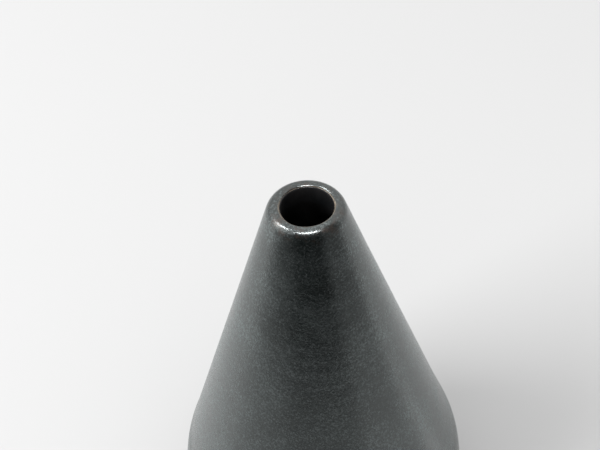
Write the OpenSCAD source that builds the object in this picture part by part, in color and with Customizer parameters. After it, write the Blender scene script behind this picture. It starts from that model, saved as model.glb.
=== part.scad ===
// Tall stoneware bottle vase: a thrown bowl and a thrown cone joined at the shoulder,
// coated outside with a satin charcoal glaze and lined inside with a dark glossy glaze.
// +Z is up, along the axis the vase was thrown on. The origin is the centre of the
// foot ring, at the level the vase stands on. All sizes are in millimetres.

/* [Overall shape] */
// Height from the standing level to the crest of the lip
height = 215; // [180:1:260]
// Width at the fullest part of the bowl, over the glaze
belly_d = 126.4; // [105:0.2:155]
// Height of the fullest part above the standing level
belly_h = 51.5; // [42:0.5:62]
// Height of the shoulder join above the fullest part
shoulder_rise = 21.5; // [17:0.5:26]
// How far the shoulder join stands inside the fullest part
shoulder_in = 4.4; // [3:0.1:6]

/* [Mouth] */
// Clear width of the mouth, glazed
throat_d = 17; // [12:0.2:24]
// Length of the straight throat below the lip's inner round
throat_len = 6; // [4:0.5:9]
// Depth of the easing between the throat and the cone's inner face
neck_run = 14; // [8:0.5:20]
// Radius of the lip's outer round
lip_out = 3.2; // [2.6:0.1:4]
// Radius of the lip's inner round
lip_in = 1.7; // [1.3:0.1:2.4]
// How far past the crest the outside glaze wraps into the mouth, in degrees
lip_cover = 32; // [20:1:45]
// Width of the bare clay line between the two glazes, in degrees round the lip
lip_bare = 18; // [8:1:30]

/* [Walls] */
// Thickness of the clay wall
wall = 4.6; // [3.6:0.1:5.8]
// Thickness of the clay floor inside the foot ring
floor_t = 5.2; // [4:0.1:7]
// Radius of the round between the inner wall and the floor
floor_round = 30; // [10:1:34]
// How far inside the foot's edge the inner curve aims for the floor
heel_in = 3.3; // [2:0.1:6]
// Thickness of one coat of glaze
glaze_t = 0.45; // [0.3:0.05:0.7]
// Thickness of the slip that joins the cone to the bowl
slip_t = 1; // [0.6:0.1:1.6]

/* [Foot] */
// Width across the top of the turned foot ring
foot_d = 72; // [58:1:88]
// Height of the foot ring
foot_h = 4; // [3:0.1:6]
// Thickness of the foot ring
foot_ring = 6; // [4.5:0.1:8]
// Depth of the hollow turned inside the foot ring
foot_recess = 3; // [2:0.1:4]
// How far the foot ring leans in towards the standing level
foot_lean = 0.6; // [0.2:0.1:1.2]
// Width of the sponged bevel on the foot ring's edges
foot_bevel = 0.8; // [0.4:0.1:1.4]
// Height of the bare clay band above the foot ring, below the glaze
bare_band = 2.5; // [1:0.1:5]

/* [Hidden] */
$fn = 144;

// Radii of the fullest part, the throat, the lip's crest and the foot
belly_r = belly_d / 2;
throat_r = throat_d / 2;
crest_r = throat_r + lip_in;
foot_r = foot_d / 2;
shoulder_r = belly_r - shoulder_in;
shoulder_z = belly_h + shoulder_rise;

// Whole wall: the clay and both coats of glaze
whole = wall + 2 * glaze_t;

// Curve from the fullest part up to the shoulder: upright at the fullest part
bulge_r = (pow(shoulder_in, 2) + pow(shoulder_rise, 2)) / (2 * shoulder_in);
bulge_c = [belly_r - bulge_r, belly_h];
bulge_a = asin(shoulder_rise / bulge_r);

// Curve from the fullest part down to the foot
foot_run = belly_r - foot_r;
foot_drop = belly_h - foot_h;
bowl_r = (pow(foot_run, 2) + pow(foot_drop, 2)) / (2 * foot_run);
bowl_c = [belly_r - bowl_r, belly_h];
foot_a = atan2(foot_drop, foot_r - bowl_c[0]);
glaze_a = asin((foot_drop - bare_band) / bowl_r);

// Inner curve of the bowl, its level floor and the round between them
floor_z = foot_recess + floor_t + glaze_t;
inner_run = belly_r - whole - foot_r + heel_in;
inner_drop = belly_h - floor_z;
inner_r = (pow(inner_run, 2) + pow(inner_drop, 2)) / (2 * inner_run);
inner_c = [belly_r - whole - inner_r, belly_h];
round_r = min(floor_round, 0.95 * inner_drop);
round_a = asin((inner_drop - round_r) / (inner_r - round_r));
round_c = inner_c + (inner_r - round_r) * [cos(round_a), -sin(round_a)];

// The cone's side runs straight from the shoulder to touch the lip's outer round
lip_out_c = [crest_r, height - lip_out];
lip_in_c = [crest_r, height - lip_in];
shoulder = [shoulder_r, shoulder_z];
reach = shoulder - lip_out_c;
cone_a = atan2(reach[1], reach[0]) + acos(lip_out / norm(reach));
slip_top = shoulder + slip_t * [-sin(cone_a), cos(cone_a)];

// Throat, then the easing down to the cone's inner face
throat_top = height - lip_in;
throat_end = [throat_r, throat_top - throat_len];
neck_z = throat_end[1] - neck_run;
neck_end = [shoulder_r - (neck_z - shoulder_z) * tan(cone_a) - whole / cos(cone_a), neck_z];
neck_a = atan2(neck_end[0] - throat_r, neck_run);

// Steps along each round stretch
lip_n = 8;
edge_n = 4;
bulge_n = 7;
bowl_n = 15;
floor_n = 9;

// Points on a round of radius r about c, from angle a1 to a2
function arc(c, r, a1, a2, n) = [for (i = [0:n]) let (a = a1 + (a2 - a1) * i / n) c + r * [cos(a), sin(a)]];
// The same list without its first point, and the list from end to start
function rest(p) = [for (i = [1:len(p) - 1]) p[i]];
function back(p) = [for (i = [len(p) - 1:-1:0]) p[i]];
// A corner between faces whose normals rise a1 and a2, moved outwards by d
function corner(p, a1, a2, d) = p + d / cos((a2 - a1) / 2) * [cos((a1 + a2) / 2), sin((a1 + a2) / 2)];

// Lines at a depth d below the glazed outside, each running downwards
function lip_edge(d) = arc(lip_in_c, lip_in - d, 180, 90 + lip_cover + lip_bare, edge_n);
function lip_strip(d) = arc(lip_in_c, lip_in - d, 90 + lip_cover + lip_bare, 90 + lip_cover, edge_n);
function lip_top(d) = concat(arc(lip_in_c, lip_in - d, 90 + lip_cover, 90, lip_n),
                             rest(arc(lip_out_c, lip_out - d, 90, cone_a, lip_n)));
function join_top(d) = slip_top - d * [cos(cone_a), sin(cone_a)];
function join_low(d) = corner(shoulder, cone_a, bulge_a, -d);
function belly(d) = concat(rest(arc(bulge_c, bulge_r - d, bulge_a, 0, bulge_n)),
                           rest(arc(bowl_c, bowl_r - d, 0, -glaze_a, bowl_n)));
function bare(d) = rest(arc(bowl_c, bowl_r - d, -glaze_a, -foot_a, edge_n));

// Lines at a depth d behind the glazed inside, each running downwards
function neck(d) = [[throat_r + d, throat_top], corner(throat_end, 0, neck_a, d),
                    corner(neck_end, neck_a, cone_a, d)];
function bowl(d) = concat(rest(arc(bulge_c, bulge_r - whole + d, bulge_a, 0, bulge_n)),
                          rest(arc(inner_c, inner_r + d, 0, -round_a, floor_n)),
                          rest(arc(round_c, round_r + d, -round_a, -90, floor_n)),
                          [[0, floor_z - d]]);

// The foot ring's own outline, from its outer edge to the middle of the hollow
function foot() = let (out = foot_r - foot_lean, in = foot_r - foot_ring)
    [[out, foot_bevel], [out - foot_bevel, 0], [in + foot_bevel, 0],
     [in, foot_bevel], [in, foot_recess], [0, foot_recess]];

// Thrown stoneware bowl with its turned foot, up to the shoulder
module lower_section() {
    color("#b08d6a") rotate_extrude()
        polygon(concat([join_low(glaze_t)], belly(glaze_t), bare(glaze_t), foot(),
                       back(bowl(glaze_t)), [join_low(whole - glaze_t)]));
}

// Thrown stoneware cone with its rounded lip
module upper_section() {
    color("#b6936f") rotate_extrude()
        polygon(concat(lip_edge(glaze_t), rest(lip_strip(glaze_t)), rest(lip_top(glaze_t)),
                       [join_top(glaze_t), join_top(whole - glaze_t)],
                       back(rest(neck(glaze_t)))));
}

// Band of slip between the two sections
module joining_slip() {
    color("#9c7654") rotate_extrude()
        polygon([join_top(glaze_t), join_low(glaze_t),
                 join_low(whole - glaze_t), join_top(whole - glaze_t)]);
}

// Satin glaze from just above the foot, over the lip and a little way into the mouth
module outer_glaze() {
    color("#3c4142") rotate_extrude()
        polygon(concat(lip_top(0), [join_low(0)], belly(0),
                       back(belly(glaze_t)), [join_low(glaze_t), join_top(glaze_t)],
                       back(lip_top(glaze_t))));
}

// Glossy glaze over the whole inside, from the lip's inner round to the floor
module liner_glaze() {
    color("#15171a") rotate_extrude()
        polygon(concat(back(lip_edge(0)), rest(neck(0)), [join_top(whole), join_low(whole)], bowl(0),
                       back(bowl(glaze_t)), [join_low(whole - glaze_t), join_top(whole - glaze_t)],
                       back(neck(glaze_t)), rest(lip_edge(glaze_t))));
}

lower_section();
upper_section();
joining_slip();
outer_glaze();
liner_glaze();
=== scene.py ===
import math
import bpy
from mathutils import Matrix, Vector


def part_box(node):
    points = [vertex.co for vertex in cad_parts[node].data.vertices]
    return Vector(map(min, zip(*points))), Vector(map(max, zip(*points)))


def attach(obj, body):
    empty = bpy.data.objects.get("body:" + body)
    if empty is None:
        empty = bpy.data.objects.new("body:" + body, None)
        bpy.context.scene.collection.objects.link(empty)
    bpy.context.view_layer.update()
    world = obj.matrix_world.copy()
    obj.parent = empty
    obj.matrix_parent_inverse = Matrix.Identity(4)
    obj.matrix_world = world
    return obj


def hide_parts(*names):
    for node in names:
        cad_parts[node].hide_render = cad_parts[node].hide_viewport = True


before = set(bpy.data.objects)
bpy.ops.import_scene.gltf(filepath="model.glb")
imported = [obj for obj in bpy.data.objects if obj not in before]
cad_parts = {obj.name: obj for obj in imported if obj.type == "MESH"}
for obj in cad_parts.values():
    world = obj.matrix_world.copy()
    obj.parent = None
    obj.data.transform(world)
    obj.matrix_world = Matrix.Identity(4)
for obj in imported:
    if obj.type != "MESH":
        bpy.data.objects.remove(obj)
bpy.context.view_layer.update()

# ---- The thrown bowl ---------------------------------------------------------------
# Buff stoneware thrown on the wheel as a round bowl, then turned upside down to cut
# its foot ring. Its outside is ribbed smooth; the inside keeps the finger rings.
mm = 0.001

# The vase's lengths are in millimetres until its meshes are made.
far_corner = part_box("outer_glaze")[1]
belly = round(far_corner[0] / mm, 2)
top = round(far_corner[2] / mm, 2)
coat = 0.45
clay = 4.6
whole = clay + 2 * coat
belly_z = 51.5
shoulder_in = 4.4
shoulder_rise = 21.5
shoulder = (belly - shoulder_in, belly_z + shoulder_rise)
foot_top = (36.0, 4.0)
foot_ring = 6.0
foot_lean = 0.6
heel_in = 3.3
recess = 3.0
floor = 5.2
floor_z = recess + floor + coat
bare_band = 2.5
glaze_end_z = foot_top[1] + bare_band
around = 288


def hand(turn, z):
    """How far the hand left the wall off a true circle: a lump at the join, an oval and faint rings."""
    fade = min(1.0, max(0.0, (top - z) / 30))
    lump_z = 74
    lump = 0.33 * math.exp(-((z - lump_z) / 10.0) ** 2) * max(0.0, math.cos(turn)) ** 1.5
    oval = 0.10 * math.cos(2 * turn + 0.9) + 0.06 * math.cos(3 * turn + 2.3) - 0.16
    ring_gap = 5.3
    swell = math.sin(z / 23.0 + 1.1 + 0.4 * math.sin(turn))
    rings = 0.014 * math.sin(2 * math.pi * z / ring_gap + turn) * swell
    return lump + oval * fade + rings * fade - 0.04 * (1 - fade)


def arc(centre, radius, first, last, steps):
    """Points along a round stretch of the outline after its first, in degrees above level."""
    return [(centre[0] + radius * math.cos(math.radians(first + (last - first) * i / steps)),
             centre[1] + radius * math.sin(math.radians(first + (last - first) * i / steps)))
            for i in range(1, steps + 1)]


def line(a, b, steps):
    """Evenly spaced points from a to b, leaving out both ends."""
    return [(a[0] + (b[0] - a[0]) * i / steps, a[1] + (b[1] - a[1]) * i / steps)
            for i in range(1, steps)]


def shift(point, rise, depth):
    """The point moved in by depth, square to a face whose normal rises by that many degrees."""
    a = math.radians(rise)
    return (point[0] - depth * math.cos(a), point[1] - depth * math.sin(a))


def spin(name, outline):
    """Turns an outline, worked out afresh at each angle, into one closed mesh."""
    rows = [outline(2 * math.pi * k / around) for k in range(around)]
    count = len(rows[0])
    verts, index = [], {}
    for i in range(count):
        if all(abs(row[i][0]) < 1e-6 for row in rows):
            index[i] = [len(verts)] * around
            verts.append((0.0, 0.0, rows[0][i][1] * mm))
            continue
        index[i] = list(range(len(verts), len(verts) + around))
        for k, row in enumerate(rows):
            a = 2 * math.pi * k / around
            verts.append((row[i][0] * math.cos(a) * mm, row[i][0] * math.sin(a) * mm, row[i][1] * mm))
    faces = []
    for i in range(count):
        j = (i + 1) % count
        if index[i][0] == index[i][1] and index[j][0] == index[j][1]:
            continue
        for k in range(around):
            n = (k + 1) % around
            ring = [index[i][k], index[j][k], index[j][n], index[i][n]]
            ring = [v for m, v in enumerate(ring) if v not in ring[:m]]
            faces.append(ring)
    mesh = bpy.data.meshes.new(name)
    mesh.from_pydata(verts, [], faces)
    mesh.validate()
    mesh.update()
    for p in mesh.polygons:
        p.use_smooth = True
    piece = bpy.data.objects.new(name, mesh)
    bpy.context.collection.objects.link(piece)
    return piece


# The rounds of the outline, each by its radius, centre and angle: above the fullest line, below
# it, the bowl's inside, and the turn from the inside wall to the floor.
bulge_r = (shoulder_in ** 2 + shoulder_rise ** 2) / (2 * shoulder_in)
bulge_c = (belly - bulge_r, belly_z)
bulge_a = math.degrees(math.asin(shoulder_rise / bulge_r))
run, drop = belly - foot_top[0], belly_z - foot_top[1]
bowl_r = (run ** 2 + drop ** 2) / (2 * run)
bowl_c = (belly - bowl_r, belly_z)
foot_a = math.degrees(math.atan2(drop, foot_top[0] - bowl_c[0]))
glaze_a = math.degrees(math.asin((belly_z - glaze_end_z) / bowl_r))
inner_run, inner_drop = belly - whole - foot_top[0] + heel_in, belly_z - floor_z
inner_r = (inner_run ** 2 + inner_drop ** 2) / (2 * inner_run)
inner_c = (belly - whole - inner_r, belly_z)
round_r = 30.0
round_a = math.degrees(math.asin((inner_drop - round_r) / (inner_r - round_r)))
round_c = (inner_c[0] + (inner_r - round_r) * math.cos(math.radians(round_a)),
           inner_c[1] - (inner_r - round_r) * math.sin(math.radians(round_a)))

# The cone's side leans from the shoulder to just touch the lip's outer round.
lip_out, lip_in, throat_r = 3.2, 1.7, 8.5
lip_c = (throat_r + lip_in, top - lip_out)
reach = (shoulder[0] - lip_c[0], shoulder[1] - lip_c[1])
cone_a = math.degrees(math.atan2(reach[1], reach[0]) + math.acos(lip_out / math.hypot(*reach)))
mitre = (cone_a + bulge_a) / 2


def bowl_outside(depth, last):
    """The bowl's outside below the shoulder, depth under the finished glaze."""
    return (arc(bulge_c, bulge_r - depth, bulge_a, 0, 14)
            + arc(bowl_c, bowl_r - depth, 0, -last, 34))


def bowl_inside(depth):
    """The bowl's inside from shoulder to mid floor, depth behind the liner's face."""
    return (arc(bulge_c, bulge_r - whole + depth, bulge_a, 0, 10)
            + arc(inner_c, inner_r + depth, 0, -round_a, 16)
            + arc(round_c, round_r + depth, -round_a, -90, 18)
            + line((round_c[0], floor_z - depth), (0, floor_z - depth), 12)
            + [(0.0, floor_z - depth)])


def lower_outline(turn):
    """Down the bowl's outside, round the foot ring, over its turned hollow, and up the inside."""
    out = []
    for r, z in ([shift(shoulder, mitre, coat)] + bowl_outside(coat, glaze_a)
                 + arc(bowl_c, bowl_r - coat, -glaze_a, -foot_a, 5)):
        out.append((r + hand(turn, z), z))
    ring_out, ring_in = foot_top[0] - foot_lean, foot_top[0] - foot_ring
    out += [(ring_out + 0.12, 3.2), (ring_out + 0.02, 1.9), (ring_out, 1.1), (ring_out - 0.12, 0.6),
            (ring_out - 0.42, 0.2), (ring_out - 0.8, 0.03), (ring_out - 1.3, 0.0),
            (ring_in + 1.3, 0.0), (ring_in + 0.8, 0.03), (ring_in + 0.42, 0.2), (ring_in + 0.12, 0.6),
            (ring_in, 1.1), (ring_in, 2.2), (ring_in - 0.15, recess - 0.25), (ring_in - 0.7, recess)]
    steps, cut_gap, nub_wide = 60, 1.9, 2.2
    for i in range(1, steps):
        r = (ring_in - 0.7) * (1 - i / steps)
        cut = 0.09 * math.sin(2 * math.pi * r / cut_gap + turn) * min(1.0, r / 4)
        nub = 0.35 * math.exp(-(r / nub_wide) ** 2)
        out.append((r, recess + 0.12 + cut - nub))
    out.append((0.0, recess - 0.2))
    inside = [shift(shoulder, mitre, whole - coat)] + bowl_inside(coat)
    for r, z in reversed(inside):
        if r < 1e-6:
            out.append((0.0, z))
        else:
            out.append((r + hand(turn, z) * min(1.0, z / 20), z))
    return out


def clay_finish(name, pale, dark, grit=0.35):
    """Bare fired stoneware: a warm body with iron specks and fine grog."""
    mat = bpy.data.materials.new(name)
    mat.use_nodes = True
    t = mat.node_tree
    n, l = t.nodes, t.links
    shader = n["Principled BSDF"]
    where = n.new("ShaderNodeTexCoord")
    grain = n.new("ShaderNodeTexNoise")
    grain.inputs["Scale"].default_value = 900
    grain.inputs["Detail"].default_value = 4
    cloud = n.new("ShaderNodeTexNoise")
    cloud.inputs["Scale"].default_value = 45
    cloud.inputs["Detail"].default_value = 3
    specks = n.new("ShaderNodeTexVoronoi")
    specks.inputs["Scale"].default_value = 420
    for tex in (grain, cloud, specks):
        l.new(where.outputs["Object"], tex.inputs["Vector"])
    tone = n.new("ShaderNodeMix")
    tone.data_type = "RGBA"
    tone.inputs[6].default_value = (*dark, 1)
    tone.inputs[7].default_value = (*pale, 1)
    mixed = n.new("ShaderNodeMath")
    mixed.operation = "MULTIPLY_ADD"
    l.new(grain.outputs["Fac"], mixed.inputs[0])
    mixed.inputs[1].default_value = 0.7
    l.new(cloud.outputs["Fac"], mixed.inputs[2])
    less = n.new("ShaderNodeMath")
    less.operation = "SUBTRACT"
    less.use_clamp = True
    l.new(mixed.outputs[0], less.inputs[0])
    less.inputs[1].default_value = 0.35
    l.new(less.outputs[0], tone.inputs[0])
    iron = n.new("ShaderNodeMapRange")
    iron.inputs["From Min"].default_value = 0.10
    iron.inputs["From Max"].default_value = 0.22
    iron.inputs["To Min"].default_value = 0.75
    iron.inputs["To Max"].default_value = 0.0
    l.new(specks.outputs["Distance"], iron.inputs["Value"])
    spot = n.new("ShaderNodeMix")
    spot.data_type = "RGBA"
    spot.inputs[7].default_value = (0.05, 0.025, 0.015, 1)
    l.new(iron.outputs["Result"], spot.inputs[0])
    l.new(tone.outputs[2], spot.inputs[6])
    l.new(spot.outputs[2], shader.inputs["Base Color"])
    rough = n.new("ShaderNodeMapRange")
    rough.inputs["To Min"].default_value = 0.72
    rough.inputs["To Max"].default_value = 0.92
    l.new(grain.outputs["Fac"], rough.inputs["Value"])
    l.new(rough.outputs["Result"], shader.inputs["Roughness"])
    bump = n.new("ShaderNodeBump")
    bump.inputs["Strength"].default_value = grit
    bump.inputs["Distance"].default_value = 0.00012
    l.new(grain.outputs["Fac"], bump.inputs["Height"])
    l.new(bump.outputs["Normal"], shader.inputs["Normal"])
    return mat


lower = spin("thrown_bowl", lower_outline)
lower.data.materials.append(clay_finish("bare_stoneware", (0.42, 0.31, 0.21), (0.25, 0.165, 0.105)))
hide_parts("lower_section")
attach(lower, "root")

# ---- The thrown cone ---------------------------------------------------------------
# The same clay, thrown open at both ends and drawn in to a narrow throat. Its lip is
# rolled round with a chamois; it was set on the bowl while both were leather hard.
slip_wide = 1.0
slip_top = (shoulder[0] - slip_wide * math.sin(math.radians(cone_a)),
            shoulder[1] + slip_wide * math.cos(math.radians(cone_a)))
throat_len = 6.0
neck_run = 14.0
throat_end = (throat_r, top - lip_in - throat_len)
neck_z = throat_end[1] - neck_run
neck_end = (shoulder[0] - (neck_z - shoulder[1]) * math.tan(math.radians(cone_a))
            - whole / math.cos(math.radians(cone_a)), neck_z)
neck_a = math.degrees(math.atan2(neck_end[0] - throat_r, neck_run))
lip_in_c = (lip_c[0], top - lip_in)


def corner(point, first, second, depth):
    """A corner between two faces, moved outwards by depth."""
    half = math.radians((second - first) / 2)
    mid = math.radians((first + second) / 2)
    return (point[0] + depth / math.cos(half) * math.cos(mid),
            point[1] + depth / math.cos(half) * math.sin(mid))


def smooth(x, low, high):
    """Rises gently from 0 at low to 1 at high."""
    x = min(1.0, max(0.0, (x - low) / (high - low)))
    return x * x * (3 - 2 * x)


def coat_on_lip(a):
    """How thick the glaze lies on the lip's inner round: it draws back from the tight turn."""
    return coat * (1 - 0.8 * smooth(a, 96, 118) * (1 - smooth(a, 146, 172)))


def inner_lip(first, last, steps, skip=0, share=1.0, bead=0.0):
    """Points on the lip's inner round, at a share of the glaze's depth; bead closes it at first."""
    pts = []
    for i in range(skip, steps + 1):
        a = first + (last - first) * i / steps
        close = 1 - smooth(abs(a - first), 0, bead) if bead else 0.0
        r = lip_in - coat_on_lip(a) * max(share, close)
        pts.append((lip_in_c[0] + r * math.cos(math.radians(a)),
                    lip_in_c[1] + r * math.sin(math.radians(a))))
    return pts


def outer_lip(depth, steps):
    """The lip's outer round, depth under the glaze: tight at the crest, opening out to the side."""
    span = 90 - cone_a
    tight, slices, between = 2.7, 400, 10
    total = sum((k / slices) ** 3 * math.sin(math.radians(span * (1 - k / slices)))
                for k in range(slices + 1))
    whole_turn = math.radians(span)
    open_out = ((lip_out - tight) * (1 - math.cos(whole_turn))) / (total * whole_turn / slices)
    moves = steps * between
    r, z, pts = lip_c[0], top, []
    for k in range(moves + 1):
        a = math.radians(90 - span * k / moves)
        if k > 0 and k % between == 0:
            pts.append((r - depth * math.cos(a), z - depth * math.sin(a)))
        bend = tight + open_out * ((k + 0.5) / moves) ** 3
        mid = a - whole_turn / (2 * moves)
        r += bend * whole_turn / moves * math.sin(mid)
        z -= bend * whole_turn / moves * math.cos(mid)
    return pts


def bare_line(turn):
    """The two angles round the lip between which the clay shows, uneven as the hand wiped it."""
    upper = 133 + 7.0 * math.sin(turn) + 2.0 * math.sin(4 * turn + 0.6) + 1.0 * math.sin(9 * turn + 1.0)
    wide = (7.5 + 2.5 * math.cos(turn) - 6.0 * math.sin(turn)
            + math.sin(3 * turn + 2.0) + 0.8 * math.sin(7 * turn))
    return upper, upper + max(0.8, wide)


def throat_line(depth):
    """The throat, the easing below it and the cone's inner face, depth behind the liner's face."""
    a = (throat_r + depth, top - lip_in)
    b = corner(throat_end, 0, neck_a, depth)
    c = corner(neck_end, neck_a, cone_a, depth)
    d = shift(slip_top, cone_a, whole - depth)
    return [a] + line(a, b, 6) + [b] + line(b, c, 10) + [c] + line(c, d, 60) + [d]


def off_true(turn, r, z):
    """How far the throat opens off the lip's centre, fading at the crest and down the neck."""
    inside = smooth(lip_c[0] - r, 0, 1.6) * smooth(z, top - 26, top - 10)
    return inside * (0.25 + 0.36 * math.cos(turn) - 0.28 * math.sin(turn) - 0.12 * math.cos(2 * turn))


def worked(points, turn):
    """The outline with the hand's unevenness on it."""
    return [(r + hand(turn, z) + off_true(turn, r, z), z) for r, z in points]


def upper_outline(turn):
    """Over the lip, down the cone's outside to the slip, and back up the inside."""
    lip = inner_lip(180, 90, 30) + outer_lip(coat, 20)
    end = shift(slip_top, cone_a, coat)
    return worked(lip + line(lip[-1], end, 70) + [end] + list(reversed(throat_line(coat)))[:-1], turn)


upper = spin("thrown_cone", upper_outline)
upper.data.materials.append(clay_finish("lip_stoneware", (0.36, 0.30, 0.225), (0.22, 0.17, 0.125)))
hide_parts("upper_section")
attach(upper, "root")

# ---- The joining slip --------------------------------------------------------------
# A band of the same clay mixed wet, brushed on the scored edges where the cone meets
# the bowl. It is closed in by the glaze, so it is seen only when the vase is cut.


def slip_outline(turn):
    """Round the four sides of the band, from the cone's outer edge."""
    a, b = shift(slip_top, cone_a, coat), shift(shoulder, mitre, coat)
    c, d = shift(shoulder, mitre, whole - coat), shift(slip_top, cone_a, whole - coat)
    sides = [a] + line(a, b, 3) + [b] + line(b, c, 8) + [c] + line(c, d, 3) + [d] + line(d, a, 8)
    return worked(sides, turn)


slip = spin("slip_band", slip_outline)
slip.data.materials.append(clay_finish("fired_slip", (0.38, 0.24, 0.14), (0.24, 0.13, 0.08), 0.6))
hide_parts("joining_slip")
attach(slip, "root")

# ---- The liner glaze ---------------------------------------------------------------
# A dark glossy glaze poured in and swilled round before the outside was dipped. It
# covers the floor, the wall and the throat, up to a bare line inside the lip.
ring_top = top - 12
ring_ease = 12
ring_high = 0.22
ring_apart = 6.1


def finger_rings(turn, z):
    """How far the finger rings stand in from the inside wall; the floor is left smooth."""
    if z > floor_z + 2:
        return abs(ring_high * math.sin(2 * math.pi * z / ring_apart + turn))
    return 0.0


def liner_face(turn, depth):
    """The liner from the bare line down to the floor: its own face, ringed, or its clay side."""
    edge = bare_line(turn)[1]
    lip = inner_lip(edge, 180, 12, 0, 1.0) if depth > 0 else inner_lip(edge, 180, 13, 1, 0.0, 6.0)
    pts = lip[:-1] + throat_line(depth) + [shift(shoulder, mitre, whole - depth)] + bowl_inside(depth)
    if depth > 0:
        return [(r + hand(turn, z) * min(1.0, z / 20) + off_true(turn, r, z) if r > 1e-6 else 0.0, z)
                for r, z in pts]
    out = []
    for r, z in pts:
        if r < 1e-6:
            out.append((0.0, z))
        elif z < ring_top:
            low = min(1.0, max(0.0, (ring_top - z) / ring_ease))
            out.append((r + hand(turn, z) * min(1.0, z / 20) + off_true(turn, r, z)
                        - finger_rings(turn, z) * low, z))
        else:
            out.append((r + hand(turn, z) + off_true(turn, r, z), z))
    return out


def liner_outline(turn):
    """Down the clay side to the floor and back up the liner's own face."""
    return liner_face(turn, coat) + list(reversed(liner_face(turn, 0.0)))


liner = spin("liner_coat", liner_outline)
mat = bpy.data.materials.new("glossy_liner")
mat.use_nodes = True
t = mat.node_tree
shader = t.nodes["Principled BSDF"]
where = t.nodes.new("ShaderNodeTexCoord")
pool = t.nodes.new("ShaderNodeTexNoise")
pool.inputs["Scale"].default_value = 120
pool.inputs["Detail"].default_value = 5
t.links.new(where.outputs["Object"], pool.inputs["Vector"])
tone = t.nodes.new("ShaderNodeValToRGB")
tone.color_ramp.elements[0].position = 0.35
tone.color_ramp.elements[0].color = (0.006, 0.0065, 0.007, 1)
tone.color_ramp.elements[1].position = 0.75
tone.color_ramp.elements[1].color = (0.020, 0.019, 0.019, 1)
t.links.new(pool.outputs["Fac"], tone.inputs["Fac"])
t.links.new(tone.outputs["Color"], shader.inputs["Base Color"])
sheen = t.nodes.new("ShaderNodeMapRange")
sheen.inputs["To Min"].default_value = 0.12
sheen.inputs["To Max"].default_value = 0.3
t.links.new(pool.outputs["Fac"], sheen.inputs["Value"])
t.links.new(sheen.outputs["Result"], shader.inputs["Roughness"])
bump = t.nodes.new("ShaderNodeBump")
bump.inputs["Strength"].default_value = 0.12
bump.inputs["Distance"].default_value = 0.0002
t.links.new(pool.outputs["Fac"], bump.inputs["Height"])
t.links.new(bump.outputs["Normal"], shader.inputs["Normal"])
shader.inputs["IOR"].default_value = 1.55
liner.data.materials.append(mat)
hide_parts("liner_glaze")
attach(liner, "root")

# ---- The satin outside glaze -------------------------------------------------------
# A charcoal glaze loaded with metal oxides, dipped over the lip and down to the foot.
# It fires to a gunmetal satin with fine pits and flecks and breaks brown on the lip.


def glaze_outline(turn):
    """Over the lip and down to a wavy, rolled edge above the foot, and back up the clay side."""
    wander = (0.35 * math.sin(turn * 2 + 0.4) + 0.22 * math.sin(turn * 5 + 1.3)
              + 0.12 * math.sin(turn * 11 + 2.0))
    last = glaze_a - math.degrees(wander / bowl_r)
    edge = bare_line(turn)[0]
    outer = inner_lip(edge, 90, 17, 1, 0.0, 6.0) + outer_lip(0.0, 20)
    outer += line(outer[-1], shoulder, 110) + [shoulder] + bowl_outside(0.0, last - 1.6)
    inner = inner_lip(edge, 90, 16) + outer_lip(coat, 20)
    end = shift(shoulder, mitre, coat)
    inner += line(inner[-1], end, 50) + [end] + bowl_outside(coat, last)
    roll = [(bowl_c[0] + (bowl_r - coat * d) * math.cos(math.radians(last + s)),
             bowl_c[1] - (bowl_r - coat * d) * math.sin(math.radians(last + s)))
            for s, d in ((-1.2, -0.35), (-0.85, -0.55), (-0.5, -0.5), (-0.22, -0.2), (-0.06, 0.3))]
    return worked(outer + roll + list(reversed(inner)), turn)


glaze = spin("satin_coat", glaze_outline)


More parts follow.
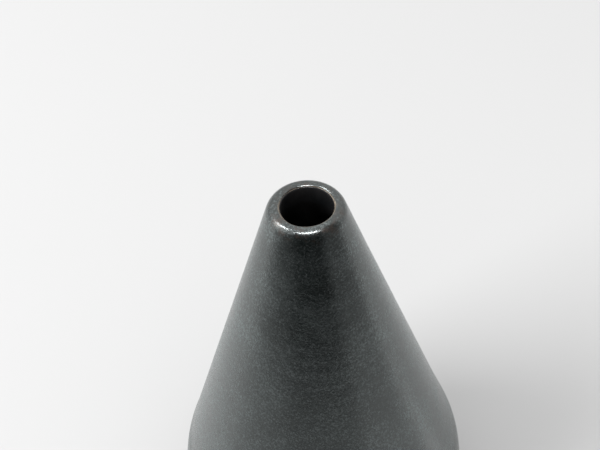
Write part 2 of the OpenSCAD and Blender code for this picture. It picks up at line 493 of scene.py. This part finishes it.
def satin_finish():
    """The outside glaze: near-black body, metal sheen, flecks, pits and brown where it runs thin."""
    mat = bpy.data.materials.new("satin_charcoal")
    mat.use_nodes = True
    t = mat.node_tree
    n, l = t.nodes, t.links
    shader = n["Principled BSDF"]
    where = n.new("ShaderNodeTexCoord")

    def noise(scale, detail, rough):
        tex = n.new("ShaderNodeTexNoise")
        tex.inputs["Scale"].default_value = scale
        tex.inputs["Detail"].default_value = detail
        tex.inputs["Roughness"].default_value = rough
        l.new(where.outputs["Object"], tex.inputs["Vector"])
        return tex.outputs["Fac"]

    def span(source, a, b, c, d):
        node = n.new("ShaderNodeMapRange")
        node.inputs["From Min"].default_value = a
        node.inputs["From Max"].default_value = b
        node.inputs["To Min"].default_value = c
        node.inputs["To Max"].default_value = d
        l.new(source, node.inputs["Value"])
        return node.outputs["Result"]

    def blend(fac, a, b):
        node = n.new("ShaderNodeMix")
        node.data_type = "RGBA"
        l.new(fac, node.inputs[0])
        for k, c in ((6, a), (7, b)):
            if isinstance(c, tuple):
                node.inputs[k].default_value = (*c, 1)
            else:
                l.new(c, node.inputs[k])
        return node.outputs[2]

    def times(a, b):
        node = n.new("ShaderNodeMath")
        node.operation = "MULTIPLY"
        l.new(a, node.inputs[0])
        l.new(b, node.inputs[1])
        return node.outputs[0]

    # Where the glaze lies on the lip's inner edge, whose throat is a little off centre.
    split = n.new("ShaderNodeSeparateXYZ")
    l.new(where.outputs["Object"], split.inputs[0])
    height = split.outputs[2]
    off_axis = n.new("ShaderNodeVectorMath")
    off_axis.operation = "SUBTRACT"
    off_axis.inputs[1].default_value = (0.25 * mm, -0.55 * mm, 0)
    l.new(where.outputs["Object"], off_axis.inputs[0])
    flat = n.new("ShaderNodeVectorMath")
    flat.operation = "MULTIPLY"
    flat.inputs[1].default_value = (1, 1, 0)
    l.new(off_axis.outputs[0], flat.inputs[0])
    away = n.new("ShaderNodeVectorMath")
    away.operation = "LENGTH"
    l.new(flat.outputs[0], away.inputs[0])
    inner_edge = span(away.outputs["Value"], 9.55 * mm, 9.2 * mm, 0, 1)

    # The body's clouds and mottle, the metal flecks, and where it wears brown or runs thin.
    fine, mottle, clouds = noise(1400, 3, 0.65), noise(480, 3, 0.6), noise(70, 4, 0.6)
    body = blend(span(clouds, 0.3, 0.7, 0, 1), (0.0009, 0.0017, 0.0017), (0.0034, 0.0053, 0.0053))
    body = blend(span(mottle, 0.45, 0.70, 0, 0.5), body, (0.0078, 0.0102, 0.0100))
    crowd = n.new("ShaderNodeMath")
    crowd.operation = "MULTIPLY_ADD"
    l.new(clouds, crowd.inputs[0])
    crowd.inputs[1].default_value = 0.3
    l.new(noise(1450, 2, 0.65), crowd.inputs[2])
    flecks = span(crowd.outputs[0], 0.71, 0.73, 0, 1)
    body = blend(flecks, body, (0.182, 0.203, 0.203))
    l.new(flecks, shader.inputs["Metallic"])
    worn = times(span(height, (top - 5.0) * mm, (top - 0.4) * mm, 0, 1),
                 span(noise(260, 4, 0.7), 0.48, 0.64, 0, 0.7))
    body = blend(worn, body, (0.048, 0.027, 0.019))
    thin = times(inner_edge, times(span(noise(300, 3, 0.6), 0.35, 0.60, 0.4, 1),
                                   span(split.outputs[1], 6.0 * mm, 1.0 * mm, 0, 1)))
    body = blend(thin, body, (0.27, 0.23, 0.18))
    l.new(body, shader.inputs["Base Color"])
    patchy = n.new("ShaderNodeMath")
    patchy.operation = "ADD"
    l.new(span(fine, 0.3, 0.7, 0.13, 0.27), patchy.inputs[0])
    l.new(span(clouds, 0.35, 0.65, 0.0, 0.06), patchy.inputs[1])
    l.new(times(patchy.outputs[0], span(inner_edge, 0, 1, 1, 0.65)), shader.inputs["Roughness"])
    # Pits and ripples, calmer on the lip, where the glaze ran smooth.
    calm = n.new("ShaderNodeMath")
    calm.operation = "MAXIMUM"
    l.new(inner_edge, calm.inputs[0])
    l.new(span(height, (top - 5.0) * mm, (top - 1.5) * mm, 0, 0.75), calm.inputs[1])
    under = None
    for source, deep, strong in ((clouds, 0.0004, 0.35), (mottle, 0.0002, 0.3), (fine, 0.0001, 0.7)):
        bump = n.new("ShaderNodeBump")
        bump.inputs["Distance"].default_value = deep
        l.new(span(calm.outputs[0], 0, 1, strong, 0.2 * strong), bump.inputs["Strength"])
        l.new(source, bump.inputs["Height"])
        if under:
            l.new(under, bump.inputs["Normal"])
        under = bump.outputs["Normal"]
    l.new(under, shader.inputs["Normal"])
    shader.inputs["IOR"].default_value = 1.92
    shader.inputs["Specular Tint"].default_value = (0.93, 1.0, 0.985, 1)
    return mat


glaze.data.materials.append(satin_finish())
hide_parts("outer_glaze")
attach(glaze, "root")

# ---- The table ---------------------------------------------------------------------
# A broad round sheet of smooth white paper laid flat, matt and bare, that the vase
# stands on with the whole of its foot ring.
sheet_r = 12
table_mesh = bpy.data.meshes.new("paper")
rim = [(sheet_r * math.cos(math.radians(a)), sheet_r * math.sin(math.radians(a)), 0)
       for a in range(0, 360, 4)]
table_mesh.from_pydata(rim, [], [list(range(len(rim)))])
table = bpy.data.objects.new("paper", table_mesh)
bpy.context.collection.objects.link(table)
mat = bpy.data.materials.new("white_paper")
mat.use_nodes = True
shader = mat.node_tree.nodes["Principled BSDF"]
shader.inputs["Base Color"].default_value = (0.58, 0.58, 0.58, 1)
shader.inputs["Roughness"].default_value = 0.8
shader.inputs["Specular IOR Level"].default_value = 0.2
table.data.materials.append(mat)

# ---- The glowing reflection sheet --------------------------------------------------
# A sheet that glows though it is no lamp, laid on the table and hung in front of the vase.
# Its glow, paler at its two ends and near the foot, is a painted reflection that gives the
# glossy pot a dark middle, standing in for shade in front. It shows only as a reflection.

# Its distance from the vase and its height, in metres, from the foot outwards and up.
drop_line = ((0.068, 0.0015), (0.12, 0.0015), (0.3, 0.0015), (0.7, 0.0015),
             (0.7, 0.35), (0.7, 0.78), (0.62, 0.97), (0.5, 1.08))
high, cols = len(drop_line), 48
verts = []
for k in range(cols + 1):
    a = math.radians(-90 + 180 * k / cols)
    verts += [(r * math.sin(a), -r * math.cos(a), z) for r, z in drop_line]
faces = [(k * high + i, (k + 1) * high + i, (k + 1) * high + i + 1, k * high + i + 1)
         for k in range(cols) for i in range(high - 1)]
painted_reflection_sheet_mesh = bpy.data.meshes.new("painted_reflection_sheet")
painted_reflection_sheet_mesh.from_pydata(verts, [], faces)
painted_reflection_sheet = bpy.data.objects.new("painted_reflection_sheet", painted_reflection_sheet_mesh)
bpy.context.collection.objects.link(painted_reflection_sheet)
# The sheet's material: a painted glow, no lamp, that paints the reflection the glaze shows.
mat = bpy.data.materials.new("painted_reflection_glow")
mat.use_nodes = True
t = mat.node_tree
t.nodes.clear()
out = t.nodes.new("ShaderNodeOutputMaterial")
glow = t.nodes.new("ShaderNodeEmission")
t.links.new(glow.outputs[0], out.inputs["Surface"])
where = t.nodes.new("ShaderNodeTexCoord")
split = t.nodes.new("ShaderNodeSeparateXYZ")
t.links.new(where.outputs["Object"], split.inputs[0])


def sums(kind, a, b):
    """One step of arithmetic on the sheet's painted glow."""
    node = t.nodes.new("ShaderNodeMath")
    node.operation = kind
    for k, v in ((0, a), (1, b)):
        if isinstance(v, (int, float)):
            node.inputs[k].default_value = v
        else:
            t.links.new(v, node.inputs[k])
    return node.outputs[0]


def shade(source, stops):
    """How bright the sheet's painted glow is along a way across it, from (place, brightness) stops."""
    ramp = t.nodes.new("ShaderNodeValToRGB")
    ramp.color_ramp.interpolation = "LINEAR"
    while len(ramp.color_ramp.elements) < len(stops):
        ramp.color_ramp.elements.new(0.5)
    for e, (way, v) in zip(ramp.color_ramp.elements, stops):
        e.position = way
        e.color = (v, v, v, 1)
    t.links.new(source, ramp.inputs[0])
    return ramp.outputs[0]


bearing = sums("ARCTAN2", split.outputs[0], sums("MULTIPLY", split.outputs[1], -1.0))
across = sums("MULTIPLY_ADD", bearing, 1 / math.pi)
across.node.inputs[2].default_value = 0.5
reach_out = sums("SQRT", sums("ADD", sums("MULTIPLY", split.outputs[0], split.outputs[0]),
                              sums("MULTIPLY", split.outputs[1], split.outputs[1])), 0.0)


def at(bearing_deg):
    """Where a bearing seen from the vase, 0 straight ahead, falls from end to end of the sheet."""
    return (bearing_deg + 90) / 180


# Painted reflection: the glow is nil straight ahead and paler to either side, a dark camera side and a
# lit room.
painted_reflection_by_bearing = shade(across, [(0.0, 0.85), (at(-78), 0.38), (at(-60), 0.19), (at(-45), 0.13),
                              (at(-30), 0.04), (at(-20), 0.0), (at(29), 0.0), (at(36), 0.18),
                              (at(55), 0.19), (at(75), 0.17), (1.0, 0.60)])
# Painted reflection: the glow is paler near the foot and fades out farther away, a lit floor close by
# and shade beyond.
painted_reflection_by_reach = shade(reach_out, [(0.07, 0.42), (0.25, 0.43), (0.34, 0.40), (0.40, 0.28), (0.48, 0.16),
                         (0.56, 0.03), (0.65, 0.0)])
total = sums("MINIMUM", sums("ADD", painted_reflection_by_bearing, painted_reflection_by_reach), 0.9)
t.links.new(total, glow.inputs["Strength"])
mat.cycles.emission_sampling = "NONE"
painted_reflection_sheet.data.materials.append(mat)
painted_reflection_sheet.visible_camera = False
painted_reflection_sheet.visible_diffuse = False
painted_reflection_sheet.visible_shadow = False
painted_reflection_sheet.visible_transmission = False

# ---- The lamps ---------------------------------------------------------------------
# Two narrow strips above the vase, in front and on the left, that glint on its lip, a
# large window on the left, and pale walls all round that fill the shadows.
world = bpy.data.worlds.new("pale_room")
bpy.context.scene.world = world
world.use_nodes = True
sky = world.node_tree
sky.nodes["Background"].inputs["Color"].default_value = (1.0, 1.0, 1.0, 1)
where = sky.nodes.new("ShaderNodeTexCoord")
split = sky.nodes.new("ShaderNodeSeparateXYZ")
sky.links.new(where.outputs["Generated"], split.inputs[0])
higher = sky.nodes.new("ShaderNodeMapRange")
higher.inputs["From Min"].default_value = 0.25
higher.inputs["From Max"].default_value = 0.75
higher.inputs["To Min"].default_value = 0.82
higher.inputs["To Max"].default_value = 1.1
sky.links.new(split.outputs[2], higher.inputs["Value"])
sky.links.new(higher.outputs["Result"], sky.nodes["Background"].inputs["Strength"])


def lamp(name, place, along, wide, tall, power, colour=(1, 1, 1)):
    """A soft rectangular lamp at a place in metres, aimed at the mouth, lying along the given way."""
    data = bpy.data.lights.new(name, "AREA")
    data.shape = "RECTANGLE"
    data.size, data.size_y = wide, tall
    data.energy = power
    data.color = colour
    back = (Vector(place) - Vector((0, 0, top * mm))).normalized()
    across = (Vector(along) - Vector(along).dot(back) * back).normalized()
    obj = bpy.data.objects.new(name, data)
    obj.matrix_world = (Matrix.Translation(Vector(place))
                        @ Matrix((across, back.cross(across), back)).transposed().to_4x4())
    bpy.context.collection.objects.link(obj)
    return obj


strip_tall = 0.025
strips = (("front_strip", (-0.015, -0.272, 0.59), (1, 0.12, -0.06), 0.36, 1.95),
          ("side_strip", (-0.32, 0.0, 0.57), (-0.13, 0.25, -0.13), 0.22, 0.95))
for name, place, along, wide, power in strips:
    strip = lamp(name, place, along, wide, strip_tall, power, (1.0, 0.98, 1.0))
    strip.visible_camera = False
    strip.visible_diffuse = False
lamp("window", (-3.1, -0.9, 2.0), (0.3, -1, 0), 2.6, 2.1, 158.0)

# ---- The camera --------------------------------------------------------------------
# Held close above the mouth, looking steeply down the front of the cone.
pitch, roll = math.radians(46.81), math.radians(-4.53)
ahead = Vector((0, math.cos(pitch), -math.sin(pitch)))
side, up = Vector((1, 0, 0)), Vector((0, math.sin(pitch), math.cos(pitch)))
right = side * math.cos(roll) + up * math.sin(roll)
above = up * math.cos(roll) - side * math.sin(roll)
eye = bpy.data.cameras.new("camera")
eye.lens = 48
eye.sensor_width = 36
eye.clip_start = 0.01
camera = bpy.data.objects.new("camera", eye)
place = Vector((-0.0024, -0.1809, top * mm + 0.1833))
turn = Matrix((right, above, -ahead)).transposed()
camera.matrix_world = Matrix.Translation(place) @ turn.to_4x4()
bpy.context.collection.objects.link(camera)
bpy.context.scene.camera = camera
bpy.context.scene.view_settings.view_transform = "Standard"
